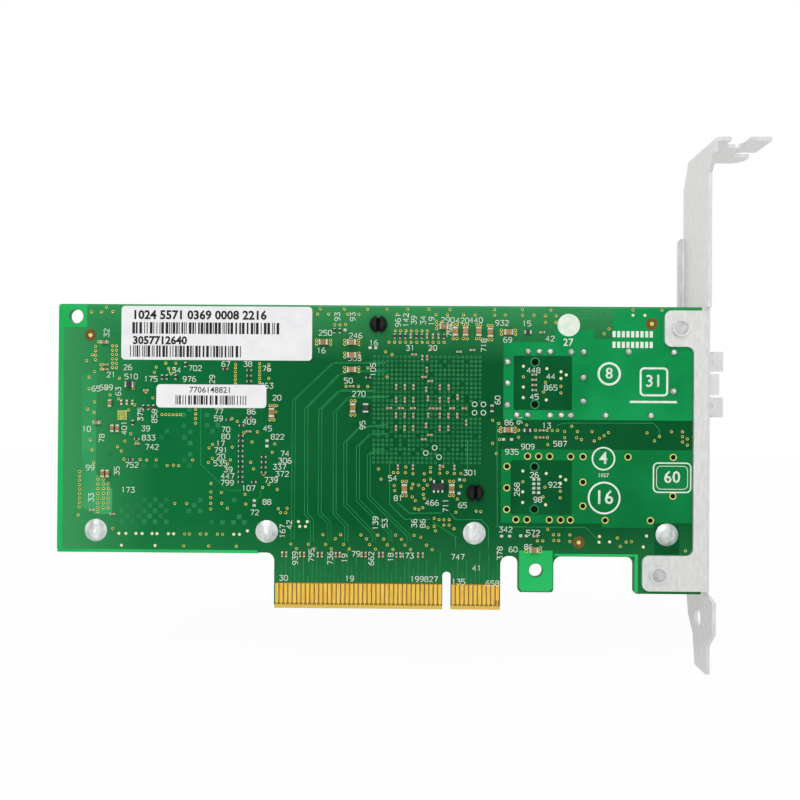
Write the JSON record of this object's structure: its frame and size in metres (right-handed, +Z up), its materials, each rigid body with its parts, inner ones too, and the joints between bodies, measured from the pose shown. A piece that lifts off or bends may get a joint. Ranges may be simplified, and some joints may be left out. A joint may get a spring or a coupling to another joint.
{
  "type": "network interface card",
  "caption": "Expansion-slot network card: green circuit board with a gold edge connector, folded steel bracket, transceiver cage and finned heatsink.",
  "frame": {"origin": "middle of the key slot on the lower edge of the contacts, half way through the board's thickness", "axes": "+X along the card towards the bracket, +Y out of the component face, +Z up from the edge connector to the top edge"},
  "size_m": [0.16, 0.0216, 0.1202],
  "materials": {
    "board_laminate": "green solder mask over glass-epoxy laminate",
    "gold_contacts": "hard gold plating",
    "solder": "bright solder",
    "bracket_steel": "zinc-plated satin steel",
    "screw_steel": "zinc-plated steel",
    "cage_nickel": "nickel-plated stamped sheet",
    "spring_steel": "stainless spring strip",
    "socket_black": "moulded liquid-crystal polymer",
    "package_green": "laminate chip package",
    "lid_metal": "nickel-plated copper lid",
    "thermal_grey": "soft filled silicone",
    "heatsink_aluminium": "extruded and milled aluminium",
    "pin_black": "moulded nylon",
    "label_paper": "coated label paper",
    "ceramic_tan": "fired ceramic with tinned ends",
    "resistor_black": "glazed film resistor with tinned ends",
    "chip_black": "moulded epoxy",
    "tinned_leads": "tinned copper",
    "inductor_grey": "pressed ferrite powder",
    "capacitor_yellow": "moulded polymer capacitor",
    "crystal_can": "nickel-plated lid",
    "lamp_clear": "clear moulded lens"
  },
  "bodies": {
    "root": {"circuit_board": "board_laminate", "edge_contacts": "gold_contacts", "solder_mounds": "solder", "bracket": "bracket_steel", "bracket_screws": "screw_steel", "transceiver_cage": "cage_nickel", "cage_solder_joints": "solder", "cage_spring_collar": "spring_steel", "socket_housing": "socket_black", "socket_contacts": "gold_contacts", "controller_package": "package_green", "controller_lid": "lid_metal", "thermal_pad": "thermal_grey", "heatsink": "heatsink_aluminium", "push_pins": "pin_black", "push_pin_springs": "spring_steel", "product_label": "label_paper", "serial_label": "label_paper", "large_capacitors": "ceramic_tan", "medium_capacitors": "ceramic_tan", "small_capacitors": "ceramic_tan", "large_resistors": "resistor_black", "chip_resistors": "resistor_black", "reset_chip": "chip_black", "flash_chip": "chip_black", "settings_chip": "chip_black", "chip_leads": "tinned_leads", "power_inductors": "inductor_grey", "bulk_capacitors": "capacitor_yellow", "regulator_chips": "chip_black", "clock_crystal": "crystal_can", "front_capacitors": "ceramic_tan", "front_resistors": "resistor_black", "status_lamps": "lamp_clear"}
  },
  "joints": []
}
